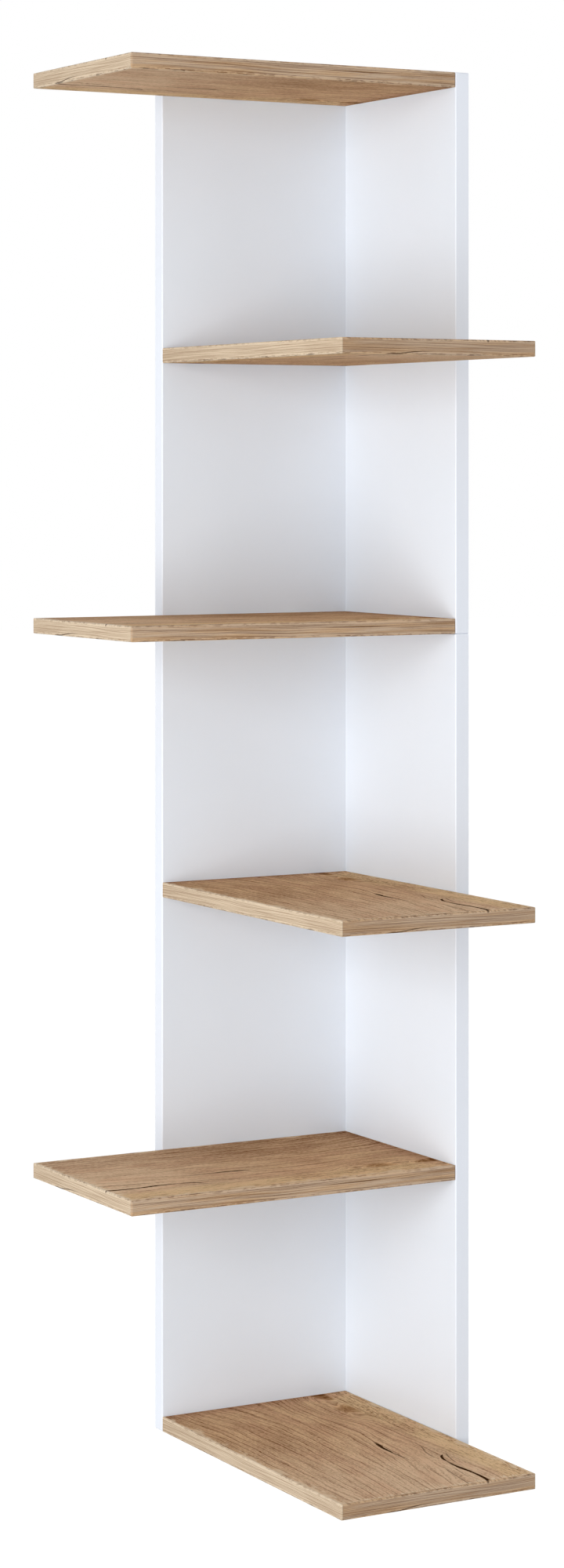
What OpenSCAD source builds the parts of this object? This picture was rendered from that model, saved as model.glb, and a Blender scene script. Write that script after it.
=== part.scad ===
// Corner wall shelf, in millimetres. Two panels stand in the corner as an L, each in an upper and a lower half,
// and six equal shelves run along the back panel and along the side panel by turns, counted from the top.
// The origin is the foot of the corner line, where both wall faces meet under the lowest shelf. The back wall
// is the plane Y = 0, the side wall is the plane X = 0, and the shelf stands in negative X and Y with +Z up.

/* [Boards] */
// Thickness of every board
board = 18; // [16:1:22]
// Depth of a shelf, which is also the inside width of both panels
shelf_depth = 255; // [220:5:320]
// Length of a shelf
shelf_length = 426; // [360:2:520]
// Height from one shelf to the next
shelf_pitch = 320; // [260:10:380]

/* [Edging] */
// Thickness of the edging strips
edging = 2; // [1:0.5:3]
// Rounding of the edges that can be touched
edge_round = 1.8; // [0.5:0.1:2.4]
// Gap where two strips meet
strip_joint = 0.1; // [0.05:0.05:0.5]

/* [Connecting screws] */
// Length of a connecting screw
screw_length = 50; // [40:1:60]
// Diameter of its shank, in the panel
shank_d = 7; // [6:0.5:8]
// Diameter of its threaded part, in the shelf
core_d = 5; // [3.5:0.5:5.5]
// Diameter of its head
head_d = 10; // [9:0.5:12]
// Height of the head's straight rim
head_rim = 1; // [0.5:0.1:2]
// Depth of the head below the wall face
head_sink = 0.3; // [0.1:0.1:1]
// Width across the flats of the hexagon socket
socket_flats = 4; // [3:0.5:5]
// Depth of the hexagon socket
socket_depth = 3.5; // [2:0.5:5]
// Length of the tapered point
point_length = 4; // [2:1:6]
// Diameter at the tip of the point
point_d = 2; // [1:0.5:3]
// Clearance round a screw
screw_clearance = 0.1; // [0.05:0.05:0.2]
// Distance from a panel's inner corner, and from its outer end, to the nearest screw
fixing_inset = 50; // [48:1:70]

/* [Dowels] */
// Diameter of a dowel
dowel_d = 8; // [6:1:10]
// Length of a dowel
dowel_length = 30; // [25:1:40]
// Part of a dowel that goes into a panel's face
dowel_in_face = 10; // [8:1:12]
// Chamfer at a dowel's ends
dowel_chamfer = 1; // [0.5:0.5:2]
// Clearance round a dowel
dowel_clearance = 0.1; // [0.05:0.05:0.2]
// Room for glue past the end of a dowel or a screw
end_room = 1; // [0.5:0.5:2]

/* [Hangers] */
// Width of a hanger plate
plate_w = 22; // [20:1:30]
// Height of a hanger plate
plate_h = 62; // [56:1:80]
// Thickness of a hanger plate
plate_t = 2; // [1.5:0.5:3]
// Depth of a hanger plate below the wall face
plate_sink = 0.2; // [0.1:0.1:0.5]
// Clearance round a hanger plate in its recess
plate_clearance = 0.2; // [0.1:0.1:0.5]
// Diameter of the keyhole's round entry
keyhole_d = 10; // [9:0.5:12]
// Width of the keyhole's slot
slot_w = 5; // [4:0.5:6]
// Rise from the entry's centre to the centre of the slot's end
slot_rise = 12; // [9:1:16]
// Width of the pocket behind the keyhole
pocket_w = 14; // [13:1:18]
// Depth of that pocket from the wall face
pocket_depth = 10; // [8:1:12]
// Distance from a plate's end to its screw
plate_screw_inset = 8; // [6:1:10]
// Distance from the top of a panel to the middle of its plates
hanger_drop = 90; // [60:5:120]
// Distance from the inner corner, and from the panel's outer end, to a plate's middle
hanger_inset = 60; // [35:5:80]

/* [Hanger screws] */
// Length of a hanger screw
plate_screw_length = 12; // [9:1:13]
// Diameter of its shank, in the plate
plate_shank_d = 3.5; // [3:0.5:4]
// Diameter of its threaded part, in the panel
plate_core_d = 2.6; // [2:0.1:2.9]
// Diameter of its countersunk head
plate_head_d = 7; // [6:0.5:8]
// Depth of the head below the plate's face
plate_head_sink = 0.1; // [0.05:0.05:0.2]
// Width of a blade of the cross recess
cross_w = 0.9; // [0.6:0.1:1.2]
// Span of the cross recess
cross_span = 3.6; // [2.5:0.1:4.5]
// Depth of the cross recess
cross_depth = 1.4; // [0.8:0.1:1.6]

/* [Hidden] */
$fn = 48;
shelves = 6;
upper_shelves = [1, 2, 3];
lower_shelves = [4, 5, 6];
upper_bays = [1, 2];
lower_bays = [3, 4, 5];
seam = shelf_pitch * len(lower_shelves);
height = shelf_pitch * (shelves - 1) + board;
bay_height = shelf_pitch - board;
// Shares of a bay's height at which the corner's screws and its dowel sit
corner_screw_shares = [1 / 3, 2 / 3];
corner_dowel_share = 1 / 2;
// Distances of a shelf's screws, its dowel and the seam's dowels from the inner corner
screw_places = [fixing_inset, shelf_depth - fixing_inset];
dowel_place = shelf_depth / 2;
seam_places = [for (p = screw_places) (p + dowel_place) / 2];
hanger_places = [hanger_inset, shelf_depth - hanger_inset];
cut = 1;

function level(k) = shelf_pitch * (shelves - k);
function middle(k) = level(k) + board / 2;
function in_bay(k, share) = level(k + 1) + board + bay_height * share;

// Places: the inner corner is where the two panels' faces towards the room meet

module at_inner_corner() {
    translate([-board, -board, 0]) children();
}

// From the wall face of the back panel, p from the inner corner and at height z, with +Z into the board
module from_wall(p, z) {
    translate([-p, board, z]) rotate([90, 0, 0]) children();
}

// The same places on the side panel
module on_side_panel() {
    mirror([1, -1, 0]) children();
}

module on_both_panels() {
    children();
    on_side_panel() children();
}

module at_shelf_screws(z) {
    on_both_panels()
        for (p = screw_places) from_wall(p, z) children();
}

module at_shelf_dowels(z) {
    on_both_panels()
        from_wall(dowel_place, z) children();
}

module at_corner_screws(bays) {
    for (k = bays, share = corner_screw_shares)
        from_wall(-board / 2, in_bay(k, share)) children();
}

module at_corner_dowels(bays) {
    for (k = bays)
        from_wall(-board / 2, in_bay(k, corner_dowel_share)) children();
}

module at_seam_dowels() {
    on_both_panels()
        for (p = seam_places) translate([-p, board / 2, seam - dowel_length / 2]) children();
}

// An even shelf is the same shelf turned over about the corner's diagonal
module at_shelf(k) {
    at_inner_corner() translate([0, 0, middle(k)])
        rotate(k % 2 == 0 ? 180 : 0, [1, 1, 0]) children();
}

// Blocks with rounded edges, from corner a to corner b

module box(a, b) {
    translate(a) cube(b - a);
}

module rounded_rect(a, b, r) {
    translate([a.x + r, a.y]) square([b.x - a.x - 2 * r, b.y - a.y]);
    translate([a.x, a.y + r]) square([b.x - a.x, b.y - a.y - 2 * r]);
    for (x = [a.x + r, b.x - r], y = [a.y + r, b.y - r])
        translate([x, y]) circle(r);
}

module rounded_block(a, b, r) {
    intersection() {
        translate([0, 0, a.z]) linear_extrude(b.z - a.z)
            rounded_rect([a.x, a.y], [b.x, b.y], r);
        translate([0, b.y, 0]) rotate([90, 0, 0]) linear_extrude(b.y - a.y)
            rounded_rect([a.x, a.z], [b.x, b.z], r);
        translate([a.x, 0, 0]) rotate([90, 0, 90]) linear_extrude(b.x - a.x)
            rounded_rect([a.y, a.z], [b.y, b.z], r);
    }
}

// Connecting screw, from the wall face inwards

function shank_start() = head_sink + head_rim + (head_d - shank_d) / 2;

module screw() {
    end = head_sink + screw_length;
    difference() {
        rotate_extrude()
            polygon([
                [0, head_sink],
                [head_d / 2, head_sink],
                [head_d / 2, head_sink + head_rim],
                [shank_d / 2, shank_start()],
                [shank_d / 2, board],
                [core_d / 2, board],
                [core_d / 2, end - point_length],
                [point_d / 2, end],
                [0, end]
            ]);
        translate([0, 0, head_sink - cut])
            linear_extrude(cut + socket_depth) circle(d = socket_flats / cos(30), $fn = 6);
    }
}

module screw_hole() {
    c = screw_clearance;
    rotate_extrude()
        polygon([
            [0, -cut],
            [head_d / 2 + c, -cut],
            [head_d / 2 + c, head_sink + head_rim],
            [shank_d / 2 + c, shank_start()],
            [shank_d / 2 + c, board],
            [core_d / 2 + c, board],
            [core_d / 2 + c, head_sink + screw_length + end_room],
            [0, head_sink + screw_length + end_room]
        ]);
}

// Dowel along +Z, and the blind hole on both sides of its joint

module dowel() {
    r = dowel_d / 2;
    rotate_extrude()
        polygon([
            [0, 0],
            [r - dowel_chamfer, 0],
            [r, dowel_chamfer],
            [r, dowel_length - dowel_chamfer],
            [r - dowel_chamfer, dowel_length],
            [0, dowel_length]
        ]);
}

module dowel_hole() {
    translate([0, 0, -end_room])
        cylinder(d = dowel_d + 2 * dowel_clearance, h = dowel_length + 2 * end_room);
}

// A dowel that starts in a panel's face
module in_face() {
    translate([0, 0, board - dowel_in_face]) children();
}

// Keyhole hanger, seen from the wall with +Y up

function keyhole_low() = -slot_rise / 2;
function plate_screw_rise() = plate_h / 2 - plate_screw_inset;

module upright_slot(width, low, high) {
    translate([-width / 2, low]) square([width, high - low]);
    for (y = [low, high])
        translate([0, y]) circle(d = width);
}

module at_hangers(top) {
    for (p = hanger_places) at_hanger(p, top) children();
}

module at_hanger(p, top) {
    from_wall(p, top - hanger_drop) children();
}

module at_plate_screws() {
    for (side = [-1, 1])
        translate([0, side * plate_screw_rise(), plate_sink]) children();
}

module plate_screw() {
    top = plate_head_sink;
    neck = top + (plate_head_d - plate_shank_d) / 2;
    end = top + plate_screw_length;
    difference() {
        rotate_extrude()
            polygon([
                [0, top],
                [plate_head_d / 2, top],
                [plate_shank_d / 2, neck],
                [plate_shank_d / 2, plate_t],
                [plate_core_d / 2, plate_t],
                [plate_core_d / 2, end - plate_core_d],
                [0, end]
            ]);
        for (turn = [0, 90])
            rotate(turn) translate([-cross_span / 2, -cross_w / 2, top - cut])
                cube([cross_span, cross_w, cut + cross_depth]);
    }
}

// Hole for a plate screw, which is countersunk in the plate and narrow in the panel
module plate_screw_hole() {
    c = screw_clearance;
    neck = plate_head_sink + (plate_head_d - plate_shank_d) / 2;
    rotate_extrude()
        polygon([
            [0, -cut],
            [plate_head_d / 2 + c, -cut],
            [plate_head_d / 2 + c, plate_head_sink],
            [plate_shank_d / 2 + c, neck],
            [plate_shank_d / 2 + c, plate_t],
            [plate_core_d / 2 + c, plate_t],
            [plate_core_d / 2 + c, plate_head_sink + plate_screw_length + end_room],
            [0, plate_head_sink + plate_screw_length + end_room]
        ]);
}

module hanger_plate() {
    half = (plate_h - plate_w) / 2;
    difference() {
        translate([0, 0, plate_sink]) linear_extrude(plate_t) difference() {
            upright_slot(plate_w, -half, half);
            upright_slot(slot_w, keyhole_low(), keyhole_low() + slot_rise);
            translate([0, keyhole_low()]) circle(d = keyhole_d);
        }
        at_plate_screws() plate_screw_hole();
    }
}

// Recess for the plate, and the pocket in which the wall screw's head travels
module hanger_recess() {
    half = (plate_h - plate_w) / 2;
    translate([0, 0, -cut]) linear_extrude(cut + plate_sink + plate_t)
        upright_slot(plate_w + 2 * plate_clearance, -half, half);
    linear_extrude(pocket_depth)
        upright_slot(pocket_w, keyhole_low(), keyhole_low() + slot_rise);
    at_plate_screws() plate_screw_hole();
}

// Panels: the outer end, the top and the bottom are rounded towards the room, and the wall side stays square

module panel_blank(past_corner, bottom, top) {
    a = [-shelf_depth, 0, bottom];
    b = [past_corner, board, top];
    spare = 2 * edge_round;
    intersection() {
        rounded_block(a, b + [spare, spare, 0], edge_round);
        box(a, b);
    }
}

module panel_holes(shelf_set, bays) {
    for (k = shelf_set) {
        at_shelf_screws(middle(k)) screw_hole();
        at_shelf_dowels(middle(k)) in_face() dowel_hole();
    }
    at_corner_screws(bays) screw_hole();
    at_corner_dowels(bays) in_face() dowel_hole();
    at_seam_dowels() dowel_hole();
}

module panel_core(past_corner, bottom, top, shelf_set, bays) {
    difference() {
        intersection() {
            panel_blank(past_corner, bottom, top);
            box([edging - shelf_depth, 0, bottom + edging], [past_corner, board, top - edging]);
        }
        panel_holes(shelf_set, bays);
    }
}

module panel_edging(past_corner, bottom, top, shelf_set, bays) {
    inner = edging - shelf_depth;
    difference() {
        intersection() {
            panel_blank(past_corner, bottom, top);
            union() {
                box([-shelf_depth, 0, bottom], [inner, board, top]);
                box([inner + strip_joint, 0, bottom], [past_corner, board, bottom + edging]);
                box([inner + strip_joint, 0, top - edging], [past_corner, board, top]);
            }
        }
        panel_holes(shelf_set, bays);
    }
}

module back_panel(bottom, top, shelf_set, bays) {
    color("white") at_inner_corner() difference() {
        panel_core(board, bottom, top, shelf_set, bays);
        at_hangers(top) hanger_recess();
    }
}

module side_panel(bottom, top, shelf_set, bays) {
    color("white") at_inner_corner() difference() {
        on_side_panel() panel_core(0, bottom, top, shelf_set, []);
        at_corner_screws(bays) screw_hole();
        at_corner_dowels(bays) in_face() dowel_hole();
    }
}

module back_edging(bottom, top, shelf_set) {
    color("whitesmoke") at_inner_corner()
        panel_edging(board, bottom, top, shelf_set, []);
}

module side_edging(bottom, top, shelf_set) {
    color("whitesmoke") at_inner_corner()
        on_side_panel() panel_edging(0, bottom, top, shelf_set, []);
}

module back_panel_upper() back_panel(seam, height, upper_shelves, upper_bays);
module back_panel_lower() back_panel(0, seam, lower_shelves, lower_bays);
module side_panel_upper() side_panel(seam, height, upper_shelves, upper_bays);
module side_panel_lower() side_panel(0, seam, lower_shelves, lower_bays);
module back_edging_upper() back_edging(seam, height, upper_shelves);
module back_edging_lower() back_edging(0, seam, lower_shelves);
module side_edging_upper() side_edging(seam, height, upper_shelves);
module side_edging_lower() side_edging(0, seam, lower_shelves);

// Shelves, drawn about the middle of their thickness

module shelf_blank() {
    half = board / 2;
    rounded_block([-shelf_length, -shelf_depth, -half], [0, 0, half], edge_round);
}

module shelf_holes() {
    at_shelf_screws(0) screw_hole();
    at_shelf_dowels(0) in_face() dowel_hole();
}

module shelf(k) {
    color([0.72, 0.56, 0.41]) at_shelf(k) difference() {
        intersection() {
            shelf_blank();
            box(
                [edging - shelf_length, edging - shelf_depth, -board / 2],
                [-edging, -edging, board / 2]
            );
        }
        shelf_holes();
    }
}

// Two long strips cover the shelf's whole length, and two short ones fit between them
module shelf_edging(k) {
    half = board / 2;
    gap = edging + strip_joint;
    color([0.66, 0.5, 0.36]) at_shelf(k) difference() {
        intersection() {
            shelf_blank();
            union() {
                box([-shelf_length, -edging, -half], [0, 0, half]);
                box([-shelf_length, -shelf_depth, -half], [0, edging - shelf_depth, half]);
                box([-edging, gap - shelf_depth, -half], [0, -gap, half]);
                box([-shelf_length, gap - shelf_depth, -half], [edging - shelf_length, -gap, half]);
            }
        }
        shelf_holes();
    }
}

module shelf_screws(k) {
    color("silver") at_inner_corner() at_shelf_screws(middle(k)) screw();
}

module shelf_dowels(k) {
    color("burlywood") at_inner_corner() at_shelf_dowels(middle(k)) in_face() dowel();
}

// Fixings of the corner, the seam and the hangers

module corner_screws(bays) {
    color("silver") at_inner_corner() at_corner_screws(bays) screw();
}

module corner_dowels(bays) {
    color("burlywood") at_inner_corner() at_corner_dowels(bays) in_face() dowel();
}

module seam_dowels() {
    color("burlywood") at_inner_corner() at_seam_dowels() dowel();
}

module hanger(p, top) {
    color("lightsteelblue") at_inner_corner() at_hanger(p, top) hanger_plate();
}

module hanger_screws(top) {
    color("silver") at_inner_corner() at_hangers(top) at_plate_screws() plate_screw();
}

module corner_screws_upper() corner_screws(upper_bays);
module corner_screws_lower() corner_screws(lower_bays);
module corner_dowels_upper() corner_dowels(upper_bays);
module corner_dowels_lower() corner_dowels(lower_bays);
module hanger_upper_inner() hanger(hanger_places[0], height);
module hanger_upper_outer() hanger(hanger_places[1], height);
module hanger_lower_inner() hanger(hanger_places[0], seam);
module hanger_lower_outer() hanger(hanger_places[1], seam);
module hanger_screws_upper() hanger_screws(height);
module hanger_screws_lower() hanger_screws(seam);

back_panel_upper();
back_panel_lower();
side_panel_upper();
side_panel_lower();
back_edging_upper();
back_edging_lower();
side_edging_upper();
side_edging_lower();
corner_screws_upper();
corner_screws_lower();
corner_dowels_upper();
corner_dowels_lower();
seam_dowels();
hanger_upper_inner();
hanger_upper_outer();
hanger_lower_inner();
hanger_lower_outer();
hanger_screws_upper();
hanger_screws_lower();
for (k = [1 : shelves]) {
    shelf(k);
    shelf_edging(k);
    shelf_screws(k);
    shelf_dowels(k);
}
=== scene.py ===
from math import cos, pi, radians, sin

import bpy
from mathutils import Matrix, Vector


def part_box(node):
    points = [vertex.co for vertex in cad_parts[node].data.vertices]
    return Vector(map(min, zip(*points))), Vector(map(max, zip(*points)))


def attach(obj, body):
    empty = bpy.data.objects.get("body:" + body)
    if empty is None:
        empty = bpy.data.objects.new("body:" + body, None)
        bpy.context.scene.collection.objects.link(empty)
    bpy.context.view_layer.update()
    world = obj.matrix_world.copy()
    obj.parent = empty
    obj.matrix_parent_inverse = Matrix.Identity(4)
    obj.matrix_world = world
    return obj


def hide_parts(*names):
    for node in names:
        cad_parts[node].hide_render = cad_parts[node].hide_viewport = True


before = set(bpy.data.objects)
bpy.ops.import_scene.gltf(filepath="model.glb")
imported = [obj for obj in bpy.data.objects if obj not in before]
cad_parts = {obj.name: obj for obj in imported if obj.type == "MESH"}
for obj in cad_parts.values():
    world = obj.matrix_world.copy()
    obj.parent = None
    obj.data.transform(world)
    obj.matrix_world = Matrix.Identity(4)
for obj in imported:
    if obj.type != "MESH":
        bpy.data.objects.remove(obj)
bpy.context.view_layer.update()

# The two panels stand in the corner as an L, each in an upper and a lower half. They are 18 mm chipboard
# with a white melamine film on both faces, pressed with a fine pearl grain. The ends that no strip covers,
# the screw holes and the recesses for the hangers show the raw chips.

board = 0.018
film = 0.0003
pearl_size = 0.0009
pearl_relief = 0.00006
chip_size = 0.0016


class Wire:
    """One output on its way through a node tree. Sums, products and comparisons of wires add Math nodes."""

    def __init__(self, tree, socket=None):
        self.tree = tree
        self.socket = socket

    def node(self, kind, settings=None, sockets=None, out=0):
        """Adds a node, sets it, fills its sockets by name or number, and gives one output or several."""
        made = self.tree.nodes.new(kind)
        for name, value in (settings or {}).items():
            if name == "bends":
                curve = made.mapping.curves[0]
                for at, height in value[1:-1]:
                    curve.points.new(at, height)
                for point, (at, height) in zip(curve.points, value):
                    point.location = (at, height)
                made.mapping.update()
            elif name == "choices":
                for _ in range(value - len(made.index_switch_items)):
                    made.index_switch_items.new()
            else:
                setattr(made, name, value)
        for place, value in (sockets or {}).items():
            if isinstance(value, Wire):
                self.tree.links.new(value.socket, made.inputs[place])
            else:
                made.inputs[place].default_value = value
        if isinstance(out, (list, tuple, range)):
            return [Wire(self.tree, made.outputs[o]) for o in out]
        return made if out is None else Wire(self.tree, made.outputs[out])

    def math(self, operation, *others):
        return self.node("ShaderNodeMath", {"operation": operation}, dict(enumerate((self, *others))))

    def __add__(self, other):
        return self.math("ADD", other)

    def __mul__(self, other):
        return self.math("MULTIPLY", other)

    def __sub__(self, other):
        return self.math("SUBTRACT", other)

    def __rsub__(self, other):
        return (self * -1.0).math("ADD", other)

    def __truediv__(self, other):
        return self.math("DIVIDE", other)

    def __pow__(self, other):
        return self.math("POWER", other)

    def __gt__(self, other):
        return self.math("GREATER_THAN", other)

    def __lt__(self, other):
        return self.math("LESS_THAN", other)

    def __abs__(self):
        return self.math("ABSOLUTE")

    __radd__ = __add__
    __rmul__ = __mul__

    def least(self, other):
        return self.math("MINIMUM", other)

    def most(self, other):
        return self.math("MAXIMUM", other)

    def repeat(self, period):
        """Where the value stands in its period, from 0 to 1."""
        return (self / period).math("FRACT")

    def rise(self, low, high):
        """Goes smoothly from 0 to 1 as the value goes from low to high."""
        ends = {"Value": self, "From Min": low, "From Max": high}
        return self.node("ShaderNodeMapRange", {"interpolation_type": "SMOOTHSTEP"}, ends)

    def blend(self, low, high, how="MIX"):
        """Goes from one colour to another as the value goes from 0 to 1."""
        settings = {"data_type": "RGBA", "blend_type": how}
        return self.node("ShaderNodeMix", settings, {0: self, 6: low, 7: high}, out=2)

    def spots(self, across, length, width, seed, detail=2.0):
        """Noise from 0 to 1, in spots of this length along and this width across. Each seed has its own."""
        place = self.node("ShaderNodeCombineXYZ", sockets={0: self / length, 1: across / width, 2: seed})
        return self.node("ShaderNodeTexNoise", sockets={"Vector": place, "Scale": 1.0, "Detail": detail})


def seen(red, green, blue):
    """The colour that a screen shows with these values from 0 to 255."""
    return tuple(((value / 255 + 0.055) / 1.055) ** 2.4 for value in (red, green, blue)) + (1.0,)


def new_finish(name):
    """Starts an empty material. Gives it, and a wire to build its nodes on."""
    material = bpy.data.materials.new(name)
    material.use_nodes = True
    material.node_tree.nodes.clear()
    return material, Wire(material.node_tree)


def lay_on(start, colour, roughness, height, relief, same_all_over=None):
    """Ends a material with its shader. Height goes from 0 to 1, and relief is its depth in metres."""
    bump = start.node("ShaderNodeBump", sockets={"Height": height, "Distance": relief})
    sockets = {"Base Color": colour, "Roughness": roughness, "Normal": bump, **(same_all_over or {})}
    shader = start.node("ShaderNodeBsdfPrincipled", sockets=sockets)
    start.node("ShaderNodeOutputMaterial", sockets={"Surface": shader}, out=None)


def dress(names, material):
    for name in names:
        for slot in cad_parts[name].material_slots:
            slot.material = material


def melamine(name, through):
    """White film on a board's two faces, and raw chips under it. Through is the axis of its thickness."""
    material, start = new_finish(name)
    place = start.node("ShaderNodeTexCoord", out="Object")
    depth = start.node("ShaderNodeSeparateXYZ", sockets={0: place}, out=through)
    raw = abs(depth + board / 2) < board / 2 - film
    fine = {"Vector": place, "Scale": 1 / pearl_size, "Detail": 2.0}
    pearls = start.node("ShaderNodeTexNoise", sockets=fine)
    clouds = start.node("ShaderNodeTexNoise", sockets={"Vector": place, "Scale": 9.0, "Detail": 3.0})
    white = clouds.blend(seen(229, 236, 244), seen(233, 239, 247))
    chips, chip_colour = start.node(
        "ShaderNodeTexVoronoi", sockets={"Vector": place, "Scale": 1 / chip_size}, out=("Distance", "Color")
    )
    chipboard = chip_colour.blend(seen(150, 112, 74), seen(222, 192, 150))
    roughness = 0.36 + 0.06 * pearls + 0.5 * raw
    lay_on(start, raw.blend(white, chipboard), roughness, pearls * 0.2 + raw * chips, pearl_relief)
    return material


dress(["back_panel_upper", "back_panel_lower"], melamine("white_melamine_back", through="Y"))
dress(["side_panel_upper", "side_panel_lower"], melamine("white_melamine_side", through="X"))

# The panels' outer ends, tops and bottoms are closed with 2 mm plastic strips, glued on hot and rounded
# towards the room. The strip is smoother than the film and a little cooler in colour.

white_strip_relief = 0.00003


def white_strip(name):
    material, start = new_finish(name)
    place = start.node("ShaderNodeTexCoord", out="Object")
    waves = start.node("ShaderNodeTexNoise", sockets={"Vector": place, "Scale": 160.0, "Detail": 2.0})
    streaks = start.node("ShaderNodeMapping", sockets={"Vector": place, "Scale": (900.0, 900.0, 12.0)})
    drawn = start.node("ShaderNodeTexNoise", sockets={"Vector": streaks, "Scale": 1.0, "Detail": 2.0})
    colour = drawn.blend(seen(226, 231, 239), seen(230, 234, 242))
    lay_on(start, colour, 0.3 + 0.08 * drawn, waves * 0.5 + drawn * 0.3, white_strip_relief)
    return material


white_strips = [f"{side}_edging_{half}" for side in ("back", "side") for half in ("upper", "lower")]
dress(white_strips, white_strip("white_strip"))

# Connecting screws pull the panels against the shelves and against each other. Each is 50 mm of zinc-plated
# steel with a countersunk head, a hexagon socket, a plain shank in the panel and a coarse thread beyond it.

shelf_numbers = range(1, 7)
bays = {"upper": (1, 2), "lower": (3, 4, 5)}
shelf_depth = 0.255
fixing_inset = 0.05
fixing_places = (fixing_inset, shelf_depth - fixing_inset)
corner_shares = (1 / 3, 2 / 3)
into_back = Vector((0, -1, 0))
into_side = Vector((-1, 0, 0))
screw_sizes = {
    "Sink": 0.0003, "Length": 0.05, "Head": 0.01, "Rim": 0.001, "Shank": 0.007, "Shank end": board,
    "Core": 0.005, "Crest": 0.0068, "Pitch": 0.003, "Point": 0.002, "Taper": 0.004,
    "Recess": 0.004, "Recess depth": 0.0035,
}
screw_sectors = 24
thread_steepness = 2.2
weld = 0.000001
crisp_from = radians(35)
zinc_relief = 0.00002


def new_tree(name, sizes):
    """Starts a geometry tree with a named input for each size. Gives it, its points, material and sizes."""
    tree = bpy.data.node_groups.new(name, "GeometryNodeTree")
    tree.interface.new_socket("Points", in_out="INPUT", socket_type="NodeSocketGeometry")
    tree.interface.new_socket("Finish", in_out="INPUT", socket_type="NodeSocketMaterial")
    for size in sizes:
        tree.interface.new_socket(size, in_out="INPUT", socket_type="NodeSocketFloat")
    tree.interface.new_socket("Mesh", in_out="OUTPUT", socket_type="NodeSocketGeometry")
    points, finish, *values = Wire(tree).node("NodeGroupInput", out=range(2 + len(sizes)))
    return tree, points, finish, dict(zip(sizes, values))


def turned(start, rows, sectors):
    """A grid to be turned about +Z. Gives it, each point's row, and its angle round the axis."""
    counts = {"Size X": 1.0, "Size Y": 1.0, "Vertices X": rows, "Vertices Y": sectors + 1}
    grid = start.node("GeometryNodeMeshGrid", sockets=counts)
    place = start.node("GeometryNodeInputPosition")
    across, around = start.node("ShaderNodeSeparateXYZ", sockets={0: place}, out=(0, 1))
    row = ((across + 0.5) * (rows - 1) + 0.5).math("FLOOR")
    return grid, row, (around + 0.5) * (2 * pi)


def by_row(row, values):
    """The value that belongs to each row, and the last one for all further rows."""
    sockets = {"Index": row.least(len(values) - 1), **{n + 1: value for n, value in enumerate(values)}}
    return row.node("GeometryNodeIndexSwitch", {"data_type": "FLOAT", "choices": len(values)}, sockets)


def set_in(points, grid, radius, depth, angle, finish):
    """Turns the grid by its radius and depth, closes it, and sets one at each point along its direction."""
    x, y = radius * angle.math("COSINE"), radius * angle.math("SINE")
    place = radius.node("ShaderNodeCombineXYZ", sockets={0: x, 1: y, 2: depth})
    shaped = radius.node("GeometryNodeSetPosition", sockets={"Geometry": grid, "Position": place})
    closed = radius.node("GeometryNodeMergeByDistance", sockets={"Geometry": shaped, "Distance": weld})
    bend = radius.node("GeometryNodeInputMeshEdgeAngle", out="Unsigned Angle")
    smooth = radius.node("GeometryNodeSetShadeSmooth", sockets={"Geometry": closed, "Shade Smooth": True})
    sharp = {"Geometry": smooth, "Selection": bend > crisp_from, "Shade Smooth": False}
    crisp = radius.node("GeometryNodeSetShadeSmooth", {"domain": "EDGE"}, sharp)
    into = radius.node("GeometryNodeInputNamedAttribute", {"data_type": "FLOAT_VECTOR"}, {"Name": "into"})
    turn = radius.node("FunctionNodeAlignRotationToVector", {"axis": "Z"}, {"Vector": into})
    each = {"Points": points, "Instance": crisp, "Rotation": turn}
    copies = radius.node("GeometryNodeInstanceOnPoints", sockets=each)
    real = radius.node("GeometryNodeRealizeInstances", sockets={"Geometry": copies})
    finished = radius.node("GeometryNodeSetMaterial", sockets={"Geometry": real, "Material": finish})
    radius.node("NodeGroupOutput", sockets={"Mesh": finished}, out=None)


def hexagon(angle, width):
    """Radius of a hexagon, given across its flats."""
    return width / 2 / (angle.repeat(pi / 3) * (pi / 3) - pi / 6).math("COSINE")


def cross(angle, width):
    """Radius of a cross, given its span. Its blades are a quarter as wide."""
    flat, steep = abs(angle.math("COSINE")), abs(angle.math("SINE"))
    end = width / 2 / flat.most(steep)
    side = width / 8 / (flat.least(steep) + 0.0001)
    return end.least(side)


def screw_tree(name, recess, thread_rows):
    tree, points, finish, size = new_tree(name, screw_sizes)
    head_rows = 7
    rows = head_rows + thread_rows + 2
    grid, row, angle = turned(points, rows, screw_sectors)
    top, end = size["Sink"], size["Sink"] + size["Length"]
    socket = recess(angle, size["Recess"])
    rim = top + size["Rim"]
    neck = rim + (size["Head"] - size["Shank"]) / 2
    share = ((row - (head_rows - 1)) / thread_rows).least(1.0)
    along = size["Shank end"] + share * (end - size["Shank end"])
    taper = ((end - along) / size["Taper"]).least(1.0)
    started = ((along - size["Shank end"]) / size["Pitch"]).least(1.0)
    turn = (along / size["Pitch"] - angle / (2 * pi)).math("FRACT")
    ridge = (1 - abs(turn * 2 - 1) * thread_steepness).most(0.0) * started * taper
    core = size["Point"] + (size["Core"] - size["Point"]) * taper
    stem = (core + (size["Crest"] - size["Core"]) * ridge) / 2
    head, shank = size["Head"] / 2, size["Shank"] / 2
    bottom = top + size["Recess depth"]
    radii = [0.0, socket * 0.8, socket, head, head, shank, shank, stem * (row < rows - 1.5)]
    depths = [bottom, bottom, top, top, rim, neck, size["Shank end"], along]
    set_in(points, grid, by_row(row, radii), by_row(row, depths), angle, finish)
    return tree


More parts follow.
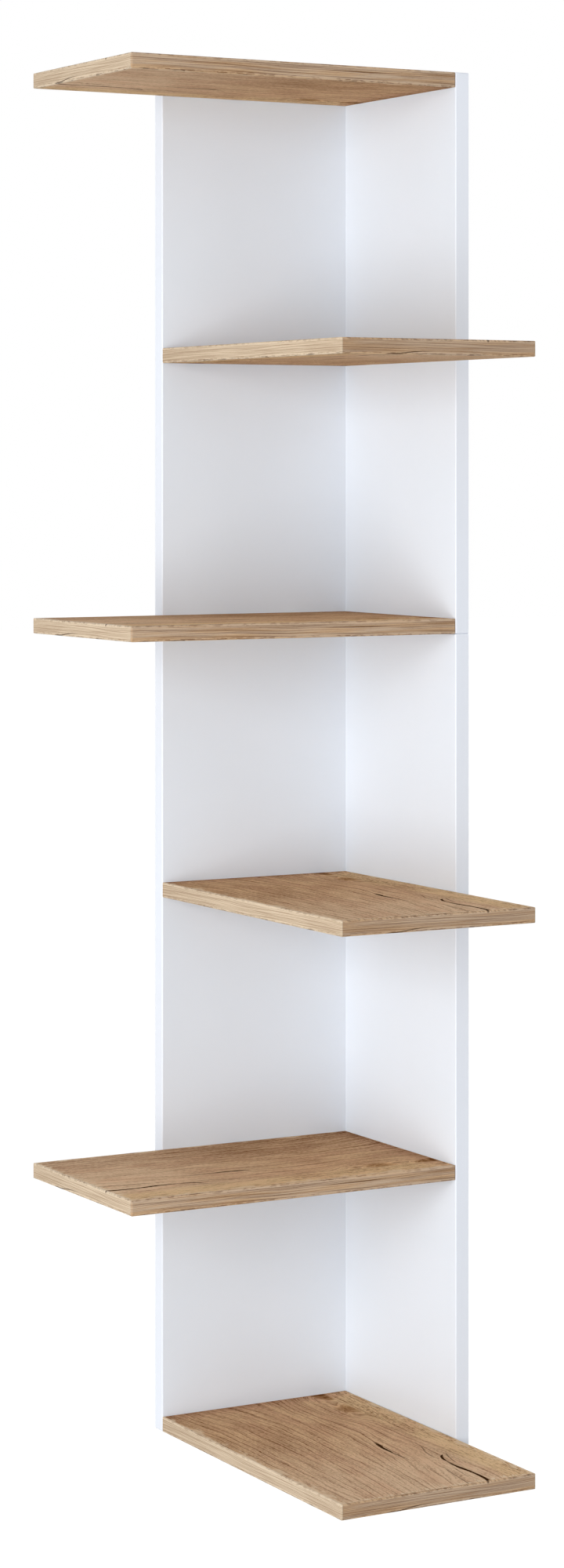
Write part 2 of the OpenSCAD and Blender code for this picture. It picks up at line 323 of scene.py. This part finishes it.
def fixings(name, places, tree, sizes, material, node):
    """Makes one plain mesh of all the fixings of a node, each at its place and along its direction."""
    mesh = bpy.data.meshes.new(name)
    mesh.from_pydata([tuple(place) for place, _ in places], [], [])
    into = mesh.attributes.new("into", "FLOAT_VECTOR", "POINT")
    into.data.foreach_set("vector", [value for _, direction in places for value in direction])
    piece = bpy.data.objects.new(name, mesh)
    bpy.context.scene.collection.objects.link(piece)
    modifier = piece.modifiers.new("fixings", "NODES")
    modifier.node_group = tree
    amounts = {**sizes, "Finish": material}
    for socket in tree.interface.items_tree:
        if socket.in_out == "INPUT" and socket.name in amounts:
            modifier[socket.identifier] = amounts[socket.name]
    made = piece.evaluated_get(bpy.context.evaluated_depsgraph_get())
    piece.data = bpy.data.meshes.new_from_object(made)
    piece.modifiers.remove(modifier)
    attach(piece, "root")
    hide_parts(node)


def on_both_walls(distance, height):
    """A point on each wall face at this distance from the inner corner, with the way into the board."""
    on_back = Vector((-board - distance, 0, height))
    on_side = Vector((0, -board - distance, height))
    return [(on_back, into_back), (on_side, into_side)]


def steel(name, dark, light, grain_size):
    """Zinc-plated steel with a fine grain."""
    material, start = new_finish(name)
    place = start.node("ShaderNodeTexCoord", out="Object")
    fine = {"Vector": place, "Scale": 1 / grain_size, "Detail": 3.0}
    grain = start.node("ShaderNodeTexNoise", sockets=fine)
    bloom = start.node("ShaderNodeTexNoise", sockets={"Vector": place, "Scale": 260.0, "Detail": 3.0})
    colour = (grain * 0.5 + bloom * 0.5).blend(dark, light)
    lay_on(start, colour, 0.26 + 0.16 * bloom, grain, zinc_relief, {"Metallic": 1.0})
    return material


shelf_boxes = {k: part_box(f"shelf_{k}") for k in shelf_numbers}
middles = {k: (low.z + high.z) / 2 for k, (low, high) in shelf_boxes.items()}
zinc = steel("zinc_plated_steel", seen(168, 172, 178), seen(206, 208, 208), grain_size=0.0006)
connecting_screw = screw_tree("connecting_screw", hexagon, thread_rows=76)


def in_bay(k, share):
    """Where the corner is fixed in the bay under shelf k, at a share of the bay's height."""
    low, high = shelf_boxes[k + 1][1].z, shelf_boxes[k][0].z
    return Vector((-board / 2, 0, low + (high - low) * share)), into_back


for k in shelf_numbers:
    places = [place for p in fixing_places for place in on_both_walls(p, middles[k])]
    name = f"shelf_{k}_threaded_screws"
    fixings(name, places, connecting_screw, screw_sizes, zinc, f"shelf_{k}_screws")
for half, group in bays.items():
    places = [in_bay(k, share) for k in group for share in corner_shares]
    name = f"corner_threaded_screws_{half}"
    fixings(name, places, connecting_screw, screw_sizes, zinc, f"corner_screws_{half}")

# Dowels of 8 by 30 mm locate the boards before the screws are driven. They are bare beech, pressed with
# flutes that let the glue spread, and chamfered at both ends.

flutes = 18
beech_relief = 0.00005
dowel_sizes = {"Start": 0.008, "Width": 0.008, "Length": 0.03, "Chamfer": 0.001, "Flute": 0.0003}
dowel_place = shelf_depth / 2


def dowel_tree(name):
    tree, points, finish, size = new_tree(name, dowel_sizes)
    grid, row, angle = turned(points, rows=6, sectors=6 * flutes)
    groove = (1 + (angle * flutes).math("COSINE")) / 2
    inner = size["Width"] / 2 - size["Chamfer"]
    outer = size["Width"] / 2 - size["Flute"] * groove
    low, high = size["Start"], size["Start"] + size["Length"]
    radii = [0.0, inner, outer, outer, inner, 0.0]
    depths = [low, low, low + size["Chamfer"], high - size["Chamfer"], high, high]
    set_in(points, grid, by_row(row, radii), by_row(row, depths), angle, finish)
    return tree


def bare_beech(name):
    material, start = new_finish(name)
    place = start.node("ShaderNodeTexCoord", out="Object")
    fibres = start.node("ShaderNodeTexNoise", sockets={"Vector": place, "Scale": 900.0, "Detail": 3.0})
    flecks = start.node("ShaderNodeTexVoronoi", sockets={"Vector": place, "Scale": 700.0}, out="Distance")
    colour = (fibres * 0.7 + flecks * 0.4).blend(seen(226, 188, 144), seen(186, 140, 98))
    lay_on(start, colour, 0.55 + 0.2 * fibres, fibres, beech_relief)
    return material


fluted_dowel = dowel_tree("fluted_dowel")
beech = bare_beech("bare_beech")
for k in shelf_numbers:
    places = on_both_walls(dowel_place, middles[k])
    name = f"shelf_{k}_fluted_dowels"
    fixings(name, places, fluted_dowel, dowel_sizes, beech, f"shelf_{k}_dowels")
for half, group in bays.items():
    places = [in_bay(k, 1 / 2) for k in group]
    name = f"corner_fluted_dowels_{half}"
    fixings(name, places, fluted_dowel, dowel_sizes, beech, f"corner_dowels_{half}")
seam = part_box("back_edging_lower")[1].z
seam_start = seam - dowel_sizes["Length"] / 2 - dowel_sizes["Start"]
places = []
for p in fixing_places:
    for place, into in on_both_walls((p + dowel_place) / 2, seam_start):
        places.append((place + into * board / 2, Vector((0, 0, 1))))
fixings("seam_fluted_dowels", places, fluted_dowel, dowel_sizes, beech, "seam_dowels")

# Four keyhole plates let the shelf hang on wall screws. They are stamped from 2 mm sheet, zinc plated, and
# sit in routed recesses behind the back panel. Two small countersunk screws with a cross recess hold each.

hanger_drop = 0.09
hanger_inset = 0.06
plate_screw_rise = 0.023
plate_screw_sizes = {
    "Sink": 0.0003, "Length": 0.012, "Head": 0.007, "Rim": 0.0, "Shank": 0.0035, "Shank end": 0.0022,
    "Core": 0.0026, "Crest": 0.0034, "Pitch": 0.0013, "Point": 0.0004, "Taper": 0.0026,
    "Recess": 0.0036, "Recess depth": 0.0014,
}
plate_screw = screw_tree("plate_screw", cross, thread_rows=40)
stamped = steel("stamped_zinc_sheet", seen(160, 165, 172), seen(198, 202, 206), grain_size=0.002)
dress([f"hanger_{half}_{side}" for half in ("upper", "lower") for side in ("inner", "outer")], stamped)
for half in ("upper", "lower"):
    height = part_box(f"back_edging_{half}")[1].z - hanger_drop
    places = [
        (Vector((-board - p, 0, height + rise)), into_back)
        for p in (hanger_inset, shelf_depth - hanger_inset)
        for rise in (-plate_screw_rise, plate_screw_rise)
    ]
    name = f"plate_threaded_screws_{half}"
    fixings(name, places, plate_screw, plate_screw_sizes, zinc, f"hanger_screws_{half}")

# The six shelves are 18 mm chipboard with the same printed oak on both faces, its grain along the shelf.
# The print has two dark cracks, a pair of knots near the wall, arched growth lines and a paler band along
# one edge. Painted shade darkens it at the wall end of every shelf, and on the shelves along the back panel
# the tops carry painted shade towards the back panel and painted light at the front edge. The film over it
# is matt, with pressed pores.

length_mm = 426.0
depth_mm = shelf_depth * 1000
board_mm = board * 1000
pitch_mm = 320.0
below_mm = 100.0
band_mm = 36.0
crown_mm = 150.0
first_knot = (11, 38)
second_knot = (77, 42)
knot_reach = (27, 17)
board_tone = 0.833
middle_tone = 0.66
print_relief = 0.00012


def on_shelf(start, along_back):
    """Distances in mm: along from the wall end, across from the pale edge on top, and up from below."""
    place = start.node("ShaderNodeTexCoord", out="Object")
    turn, edge = (0.0, board_mm + depth_mm) if along_back else (pi / 2, -board_mm)
    moves = {"Location": (-board_mm, edge, below_mm), "Rotation": (0, 0, turn)}
    scaled = {"Vector": place, "Scale": (-1000, 1000, 1000), **moves}
    laid = start.node("ShaderNodeMapping", sockets=scaled)
    along, across, up = start.node("ShaderNodeSeparateXYZ", sockets={0: laid}, out=(0, 1, 2))
    return along, across, up.repeat(pitch_mm) * pitch_mm - below_mm


def spot(along, across, centre, reach):
    """1 at the centre of an oval, falling smoothly to 0 at its reach."""
    x = (along - centre[0]) / reach[0]
    y = (across - centre[1]) / reach[1]
    return 1 - (x * x + y * y).rise(0.0, 1.0)


def crack(along, across, path, width, opening, closing, darkness=1.0):
    """A crack through these points. It opens over a first share of its length, and closes from another."""
    (start, _), (end, _) = path[0], path[-1]
    low, high = min(y for _, y in path), max(y for _, y in path)
    bends = [((x - start) / (end - start), (y - low) / (high - low)) for x, y in path]
    share = (along - start) / (end - start)
    middle = share.node("ShaderNodeFloatCurve", {"bends": bends}, {"Value": share})
    ragged = along.spots(across, 6.0, 6.0, 3.0) - 0.5
    off = abs(across - (low + (high - low) * middle) + ragged * 1.3)
    swell = 0.4 + 1.3 * along.spots(across, 19.0, 90.0, 5.3)
    half = width / 2 * share.rise(0.0, opening) * (1 - share.rise(closing, 1.0)) * swell
    inside = 1 - (off - half).rise(-0.3, 0.5)
    return inside * (share > 0.0) * (share < 1.0) * share.rise(0.0, opening) * darkness


def oak_cracks(along, across):
    """The two dark cracks, the thin start of one and the thin tail of the other, and the hairs by them."""
    main = [(303, 44), (316, 57), (335, 61), (355, 62.5), (375, 61), (395, 60), (414, 61), (440, 69)]
    short = [(214, 92), (228, 93), (240, 94.5), (256, 96.5), (282, 96)]
    tail = [(250, 96.5), (270, 97), (290, 96.5), (314, 94)]
    left_hair = [(250, 49), (275, 57), (292, 63), (318, 66)]
    upper_hair = [(296, 40), (318, 49), (345, 55)]
    right_hair = [(340, 74), (365, 80), (383, 83), (440, 90)]
    low_hair = [(352, 66), (370, 70), (404, 74)]
    darkest = crack(along, across, main, 3.9, 0.42, 0.97)
    for path, width, opening, closing, darkness in (
        (main[:3], 2.6, 0.25, 0.75, 1.0),
        (short, 3.6, 0.3, 0.6, 1.0),
        (tail, 2.2, 0.2, 0.5, 0.8),
        (left_hair, 1.3, 0.3, 0.8, 0.6),
        (upper_hair, 1.3, 0.3, 0.8, 0.6),
        (right_hair, 1.3, 0.3, 0.8, 0.6),
        (low_hair, 1.3, 0.3, 0.8, 0.5),
    ):
        darkest = darkest.most(crack(along, across, path, width, opening, closing, darkness))
    return darkest


def oak_flow(along, across):
    """Which growth line a point lies on, in mm, and how near it is to the knots, from 0 to 1."""
    far = ((along - crown_mm) / (length_mm - crown_mm)).most(0.0) ** 1.6
    near = ((crown_mm - along) / crown_mm).most(0.0) ** 2.0
    far_bow = across.rise(45, 105) * (27 - 21 * across.rise(110, 240)) * far
    bow = far_bow + across.rise(105, 185) * 24 * near
    below_band = across.rise(32, band_mm)
    push = spot(along, across, (58, 50), (95, 56)) * 19 * across.rise(30, 52)
    loose = 0.3 + 0.7 * across.rise(26, 60)
    drift = (along.spots(across, 80, 36, 1.0) - 0.5) * 12
    drift = drift + (along.spots(across, 26, 10, 2.3) - 0.5) * 2.8
    bent_along = along + (along.spots(across, 16, 12, 14.0) - 0.5) * 16
    bent_across = across + (along.spots(across, 20, 14, 15.0) - 0.5) * 12
    first = spot(bent_along, bent_across, (8, 34), (40, 30))
    second = spot(bent_along, bent_across, (78, 34), (38, 30))
    rings = (first * first + second * second) * 8 * below_band
    by_first = spot(bent_along, bent_across, first_knot, knot_reach)
    by_second = spot(bent_along, bent_across, second_knot, knot_reach) * 0.8
    return across - bow - push + drift * loose + rings, by_first.most(by_second) * below_band


def growth_lines(along, flow, gap, shift, seed):
    """Dark lines with one soft and one sharp side, unevenly spaced, that break up along the grain."""
    phase = (flow / gap + (along.spots(flow, 260, 34, seed, 1.0) - 0.5) * shift).math("FRACT")
    line = phase.rise(0.5, 0.92) ** 2.0 * (1 - phase.rise(0.92, 1.0))
    dashes = 0.1 + along.spots(flow, 6, 2.0, seed + 0.5, 3.0) * 1.8
    return line * dashes * along.spots(flow, 130, 12, seed + 0.7).rise(0.2, 0.62)


def oak_figure(along, across):
    """The print's tone from 0, dark, to 1, light, with painted shade at the wall end, its pores, and how
    near a point is to the knots.
    """
    flow, by_knots = oak_flow(along, across)
    firm = (0.2 + 0.85 * across.rise(26, band_mm) - 0.1 * across.rise(100, 150)) * (1 - by_knots * 0.7)
    wide_lines = growth_lines(along, flow, 9.8, 2.4, 31.0) * 0.42
    lines = wide_lines + growth_lines(along, flow, 4.6, 3.2, 33.0) * 0.3
    fibres = along.spots(flow, 22, 0.9, 7.0, 3.0) * 0.55 + along.spots(flow, 70, 2.6, 6.0, 3.0) * 0.65
    mottle = along.spots(flow, 5, 2.0, 12.0, 3.0)
    pores = along.spots(flow, 4.5, 0.7, 8.0, 1.0).rise(0.55, 0.66)
    patches = along.spots(flow, 55, 16, 9.0, 3.0)
    golden = along.spots(across, 32, 1.1, 17.3, 2.0) - 0.5
    golden = golden + (along.spots(across, 6, 1.6, 19.4, 3.0) - 0.5) * 0.8
    tone = board_tone + (fibres - 0.6) * 0.85 + (patches - 0.5) * 0.7 + (mottle - 0.5) * 0.95
    tone = tone - lines * firm - pores * 0.2
    tone = tone + golden * (1 - across.rise(28, band_mm)) * (3 - along.rise(120, 260))
    tone = tone + along.rise(190, 350) * 0.1 - spot(along, across, (172, 180), (95, 42)) * 0.1
    tone = tone + spot(along, across, (355, 90), (95, 42)) * 0.06
    tone = tone + spot(along, across, (180, 76), (90, 34)) * 0.08
    tone = tone - by_knots * (0.54 - along.rise(20, 60) * 0.16)
    # Painted shade: the tone darkens over the 26 mm next to the wall end, where the panel shades the shelf.
    # The print's far side is also a little darker.
    tone = tone - (1 - along.rise(0, 26)) * 0.21 - across.rise(150, 250) * 0.05
    cream = (along.spots(across, 16, 5.5, 10.0, 2.0) - 0.42).rise(0.0, 0.12)
    cream = cream * spot(along, across, (245, 17), (125, 17))
    return tone + cream * 0.22, pores, by_knots


def edge_flecks(along, across):
    """Pale flecks towards the edges: a wavy border along the grain, and short dashes where it ends."""
    side = across.least(depth_mm - across)
    end = length_mm - along
    border = (along.spots(side + 3, 20, 6, 41.4, 3.0) - 0.41 - side * 0.011).rise(0.0, 0.08)
    border = border * (1 - side.rise(7, 15))
    dashes = (end.spots(across, 9, 2.4, 42.4, 1.0) - 0.38 - end * 0.022).rise(0.0, 0.06)
    return border.most(dashes * 1.3)


def oak_print(name, along_back):
    """On the shelves along the back panel, painted shade darkens the tops towards the back panel and both
    faces a little on the print's far side, and painted light brightens the tops at the front edge.
    """
    material, start = new_finish(name)
    along, down, up = on_shelf(start, along_back)
    top = up > board_mm / 2
    across = depth_mm - down + top * (down * 2 - depth_mm)
    tone, pores, by_knots = oak_figure(along, across)
    cracks = oak_cracks(along, across)
    # Painted light and shade: tops lighter at the front edge and darker towards the back panel, both faces
    # a little darker on the print's far side.
    if along_back:
        tone = tone + top * (1 - across.rise(10, 80)) * 0.07
        tone = tone - (top * 0.14 + 0.06) * across.rise(110, depth_mm)
    tone = (tone - middle_tone) * 1.08 + middle_tone
    wander = (along.spots(across, 60, 20, 11.0) - 0.5) * 14
    warm = tone.blend(seen(108, 63, 32), seen(214, 178, 139))
    pale = tone.blend(seen(116, 75, 44), seen(221, 191, 159))
    yellow = tone.blend(seen(116, 77, 38), seen(219, 187, 145))
    pink = tone.blend(seen(98, 56, 32), seen(204, 160, 128))
    amber = tone.blend(seen(98, 58, 22), seen(212, 162, 106))
    drawn_out = along + (along.spots(across, 90, 30, 16.0) - 0.5) * 120
    colour = drawn_out.rise(90, 420).blend(warm, pale)
    colour = ((1 - (across + wander).rise(26, 48)) * 0.85).blend(colour, yellow)
    blush = along.spots(across, 65, 26, 18.4).rise(0.42, 0.66) * 0.35
    colour = ((1 - along.rise(4, 40)) * 0.5 + blush).blend(colour, pink)
    colour = (by_knots * 0.6).blend(colour, amber)
    colour = (edge_flecks(along, across) * 0.62).blend(colour, seen(222, 200, 170))
    colour = cracks.blend(colour, seen(60, 36, 16))
    height = 1 - pores * 0.4 - cracks * 0.8
    lay_on(start, colour, 0.6 + 0.1 * pores, height, print_relief, {"Specular IOR Level": 0.0})
    return material


on_back_panel = [k for k in shelf_numbers if k % 2 == 1]
on_side_panel = [k for k in shelf_numbers if k % 2 == 0]
dress([f"shelf_{k}" for k in on_back_panel], oak_print("oak_print_and_painted_shade_along_back", along_back=True))
dress([f"shelf_{k}" for k in on_side_panel], oak_print("oak_print_and_painted_shade_along_side", along_back=False))

# Each shelf is edged all round with 2 mm strips: two long ones over its whole length and two short ones
# between them. Their print is fine straight lines, and the milled arrises show short pale and dark flecks.
# The short strip at the free end also shows a thin split and a dark notch. The strips facing left carry
# painted light: a paler, lighter colour than the strips facing the front.

strip_mm = 2.0
split_path = [(118, 5.0), (150, 3.8), (168, 2.4), (184, 0.9), (198, 0.4)]
notch_place = (64, board_mm)
oak_strip_relief = 0.00008


def oak_strip(name, along_back):
    material, start = new_finish(name)
    along, across, up = on_shelf(start, along_back)
    run = along + across
    level = up + (run.spots(up, 200, 60, 21.4, 1.0) - 0.5) * 5
    bands = run.spots(level, 170, 3.2, 22.4, 2.0)
    lines = run.spots(level, 80, 0.5, 23.4, 2.0)
    streaks = run.spots(level, 90, 0.55, 27.4, 1.0).rise(0.56, 0.68)
    pores = run.spots(level, 5, 0.4, 24.4, 1.0).rise(0.58, 0.7)
    tint = run.spots(level, 90, 4.0, 28.4, 1.0).rise(0.35, 0.7)
    edge = abs(up - board_mm / 2)
    pale = run.spots(up, 8.0, 3.0, 25.4, 2.0).rise(0.42, 0.54) * edge.rise(5.8, 7.4)
    scar = (run.spots(up, 14.0, 1.6, 26.4, 2.0) - up * 0.005).rise(0.57, 0.63) * edge.rise(6.8, 8.2)
    split = crack(across, up, split_path, width=0.8, opening=0.6, closing=0.9)
    notch = spot(across, up, notch_place, (2.4, 3.6))
    at_end = along > length_mm - strip_mm
    ticks = run.spots(up, 2.8, 6.0, 29.4, 1.0).rise(0.5, 0.57) * up.rise(15.6, 16.8)
    ticks = ticks * at_end * (0.2 if along_back else 0.36)
    dark = (scar * 0.55).most((split.most(notch) * at_end) * 0.85).most(ticks)
    tone = middle_tone + (bands - 0.5) * 0.6 + (lines - 0.5) * 2.2
    tone = tone - streaks * 0.24 - pores * 0.14 + pale * 0.38
    long_ones = abs(across - depth_mm / 2) > depth_mm / 2 - strip_mm
    # Painted light: the strips facing left, towards the main softbox, take the paler light colour instead
    # of brown.
    painted_light_side = 1 - long_ones if along_back else long_ones
    if along_back:
        tone = tone + long_ones * ((tone - 0.6) * 0.4 + 0.05)
    else:
        tone = tone - (1 - long_ones) * 0.04
    grey_brown = tone.blend(seen(112, 82, 58), seen(194, 170, 145))
    warm_brown = tone.blend(seen(114, 78, 48), seen(200, 168, 133))
    brown = tint.blend(grey_brown, warm_brown)
    # Painted light colour for the strips that face left.
    light = tone.blend(seen(142, 114, 88), seen(215, 196, 170))
    colour = dark.blend(painted_light_side.blend(brown, light), seen(60, 38, 20))
    height = 1 - pores * 0.4
    lay_on(start, colour, 0.55 + 0.1 * pores, height, oak_strip_relief, {"Specular IOR Level": 0.05})
    return material


dress([f"shelf_{k}_edging" for k in on_back_panel], oak_strip("oak_strip_and_painted_light_along_back", along_back=True))
dress([f"shelf_{k}_edging" for k in on_side_panel], oak_strip("oak_strip_and_painted_light_along_side", along_back=False))

# The shelf hangs half a metre over a plain white floor, in a white room that a soft light fills evenly.
# The floor is white to the eye, and darkens only where the shelf keeps the light off it.

floor_height = -0.5
floor_half = 30.0
floor_glow = 1.17
glow_share = 0.8
room_light = 0.61


def to_the_eye(start):
    """1 for what is looked at, also in a reflection or through a clear body, and 0 for the light cast."""
    camera, glossy, clear = start.node(
        "ShaderNodeLightPath", out=("Is Camera Ray", "Is Glossy Ray", "Is Transmission Ray")
    )
    return camera.most(glossy).most(clear)


def floor_paint(name):
    material, start = new_finish(name)
    place = start.node("ShaderNodeTexCoord", out="Object")
    rolled = start.node("ShaderNodeTexNoise", sockets={"Vector": place, "Scale": 40.0})
    colour = rolled.blend(seen(206, 207, 209), seen(212, 213, 214))
    paint = start.node("ShaderNodeBsdfDiffuse", sockets={"Color": colour})
    glow = start.node("ShaderNodeEmission", sockets={"Color": (1, 1, 1, 1), "Strength": floor_glow})
    both = start.node("ShaderNodeMixShader", sockets={0: to_the_eye(start) * glow_share, 1: paint, 2: glow})
    start.node("ShaderNodeOutputMaterial", sockets={"Surface": both}, out=None)
    return material


floor_mesh = bpy.data.meshes.new("floor")
corners = [(x, y, floor_height) for x, y in ((-1, -1), (1, -1), (1, 1), (-1, 1))]
floor_mesh.from_pydata([(x * floor_half, y * floor_half, z) for x, y, z in corners], [], [(0, 1, 2, 3)])
floor_mesh.materials.append(floor_paint("white_floor"))
floor = bpy.data.objects.new("floor", floor_mesh)
bpy.context.scene.collection.objects.link(floor)

room = bpy.data.worlds.new("white_room")
room.use_nodes = True
room.node_tree.nodes.clear()
walls = Wire(room.node_tree)
fill = walls.node("ShaderNodeBackground", sockets={"Color": (0.985, 0.99, 1.0, 1), "Strength": room_light})
white = walls.node("ShaderNodeBackground", sockets={"Color": (1, 1, 1, 1), "Strength": 1.0})
both = walls.node("ShaderNodeMixShader", sockets={0: to_the_eye(walls), 1: fill, 2: white})
walls.node("ShaderNodeOutputWorld", sockets={"Surface": both}, out=None)
bpy.context.scene.world = room

# A tall softbox stands at the left, as low as the shelf itself, so that its light reaches in between the
# boards. A weak one stands higher at the right, and a third lights the wall side.

lamp_aim = Vector((-0.15, -0.15, 0.8))
lamp_distance = 4.0
softbox_width = 2.0
softbox_height = 2.8


def softbox(name, azimuth, height, share):
    """Sets up a lamp, turned left from square on. Share is the white that it adds square to its light."""
    away = Vector((-sin(radians(azimuth)), -cos(radians(azimuth)), 0)) * lamp_distance
    place = Vector((lamp_aim.x + away.x, lamp_aim.y + away.y, height))
    data = bpy.data.lights.new(name, "AREA")
    data.shape = "RECTANGLE"
    data.size, data.size_y = softbox_width, softbox_height
    data.energy = share * (pi * (place - lamp_aim).length) ** 2
    lamp = bpy.data.objects.new(name, data)
    lamp.location = place
    lamp.rotation_euler = (lamp_aim - place).to_track_quat("-Z", "Y").to_euler()
    bpy.context.scene.collection.objects.link(lamp)


softbox("softbox_left", azimuth=60, height=0.8, share=0.76)
softbox("softbox_right", azimuth=-45, height=2.9, share=0.12)
softbox("softbox_behind", azimuth=205, height=1.3, share=0.35)

# The camera stands level, 4.5 m away at 29 degrees to the left of square on. It is shifted down to frame
# the whole shelf, so the upright edges stay upright in the picture.

photo_height = 2000
focal_pixels = 4645.4
horizon_row = 598.27
sensor = 36.0
camera_place = (-2.28536, -3.89162, 1.15309)
camera_turn = radians(-29.339)

camera_data = bpy.data.cameras.new("camera")
camera_data.sensor_fit = "AUTO"
camera_data.sensor_width = sensor
camera_data.lens = sensor * focal_pixels / photo_height
camera_data.shift_y = -(photo_height / 2 - horizon_row) / photo_height
camera = bpy.data.objects.new("camera", camera_data)
camera.location = camera_place
camera.rotation_euler = (radians(90), 0, camera_turn)
bpy.context.scene.collection.objects.link(camera)
bpy.context.scene.camera = camera
bpy.context.scene.view_settings.view_transform = "Standard"
